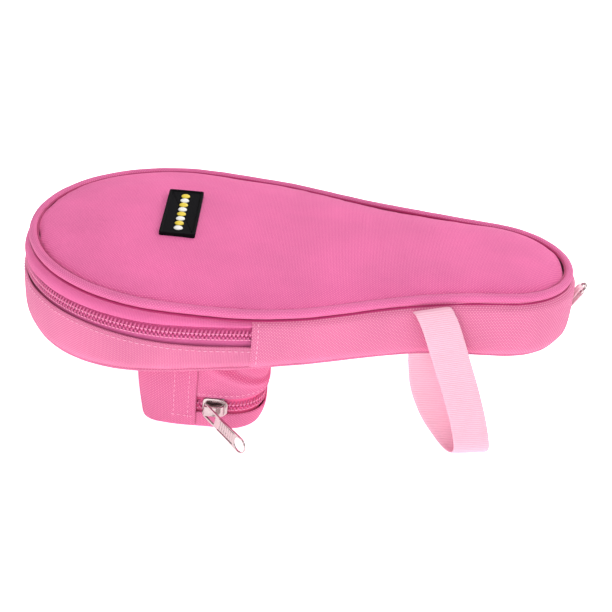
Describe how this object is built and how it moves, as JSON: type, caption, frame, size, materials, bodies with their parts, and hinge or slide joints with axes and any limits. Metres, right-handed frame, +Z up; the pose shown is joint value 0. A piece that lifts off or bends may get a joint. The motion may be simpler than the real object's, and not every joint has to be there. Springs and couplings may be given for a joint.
{
  "type": "paddle case",
  "caption": "Padded teardrop racket case with a zipped fold-back lid, a zipped ball pouch underneath, a webbing hand strap and a ring tab.",
  "frame": {"origin": "on the resting plane under the centre of the round end, at the ball pouch's outer face", "axes": "+Z up out of the lid, +X along the case towards the handle end, -Y towards the side with the strap"},
  "size_m": [0.3099, 0.2096, 0.0932],
  "materials": {
    "panel_fabric": "coarse woven polyester oxford, pink",
    "gusset_fabric": "coarse woven polyester oxford, light pink",
    "lining_fabric": "smooth nylon lining, pink",
    "foam": "soft padding, off-white",
    "zip_tape": "woven zip tape, deep pink",
    "zip_coil": "moulded nylon coil, deep pink",
    "webbing": "ribbed webbing, pale pink",
    "label_rubber": "moulded soft rubber, black",
    "nickel": "nickel-plated zinc, bright"
  },
  "bodies": {
    "case": {"bottom_panel": "panel_fabric", "bottom_foam": "foam", "bottom_lining": "lining_fabric", "bottom_piping": "panel_fabric", "lower_gusset": "gusset_fabric", "tail_gusset": "gusset_fabric", "tail_gusset_lining": "lining_fabric", "tail_panel": "panel_fabric", "tail_foam": "foam", "tail_lining": "lining_fabric", "tail_piping": "panel_fabric", "lower_zip_tape": "zip_tape", "lower_zip_coil": "zip_coil", "strap_anchor": "webbing", "ring_tab": "webbing", "pouch_gusset": "gusset_fabric", "pouch_band": "gusset_fabric", "pouch_lining": "lining_fabric", "pouch_upper_tape": "zip_tape", "pouch_upper_coil": "zip_coil"},
    "lid": {"lid_panel": "panel_fabric", "lid_foam": "foam", "lid_lining": "lining_fabric", "lid_piping": "panel_fabric", "upper_gusset": "gusset_fabric", "upper_zip_tape": "zip_tape", "upper_zip_coil": "zip_coil", "label_patch": "label_rubber"},
    "main_slider": {"main_slider": "nickel"},
    "main_pull": {"main_pull": "nickel"},
    "pouch_flap": {"pouch_panel": "panel_fabric", "pouch_strip": "gusset_fabric", "pouch_lower_tape": "zip_tape", "pouch_lower_coil": "zip_coil"},
    "pouch_slider": {"pouch_slider": "nickel"},
    "pouch_pull": {"pouch_pull": "nickel"},
    "strap": {"strap": "webbing"},
    "d_ring": {"d_ring": "nickel"}
  },
  "joints": [
    {"name": "lid_fold", "type": "hinge", "parent": "case", "child": "lid", "pos_m": [0.0338, 0, 0.0912], "axis": [-0.0667, 0.9978, 0], "range_deg": [0, 95]},
    {"name": "main_zip", "type": "hinge", "parent": "case", "child": "main_slider", "pos_m": [0, 0, 0.0683], "axis": [0, 0, 1], "range_deg": [0, 182]},
    {"name": "main_pull_swing", "type": "hinge", "parent": "main_slider", "child": "main_pull", "pos_m": [0.0179, 0.09051, 0.0683], "axis": [-0.1404, 0.1693, 0.9755], "range_deg": [-125, 20]},
    {"name": "pouch_flap_fold", "type": "hinge", "parent": "case", "child": "pouch_flap", "pos_m": [-0.02, 0, 0.0015], "axis": [0, 1, 0], "range_deg": [0, 100]},
    {"name": "pouch_zip", "type": "slide", "parent": "case", "child": "pouch_slider", "axis": [1, 0, 0], "range_m": [0, 0.012]},
    {"name": "pouch_pull_swing", "type": "hinge", "parent": "pouch_slider", "child": "pouch_pull", "pos_m": [0.0186, -0.0675, 0.0122], "axis": [0.1532, -0.1577, 0.9755], "range_deg": [-125, 20]},
    {"name": "strap_swing", "type": "hinge", "parent": "case", "child": "strap", "pos_m": [0.1455, -0.06305, 0.0492], "axis": [-0.9658, -0.2303, -0.1191], "range_deg": [0, 95]},
    {"name": "ring_swing", "type": "hinge", "parent": "case", "child": "d_ring", "pos_m": [0.2186, 0, 0.069], "axis": [0, 1, 0], "range_deg": [-20, 70]}
  ]
}
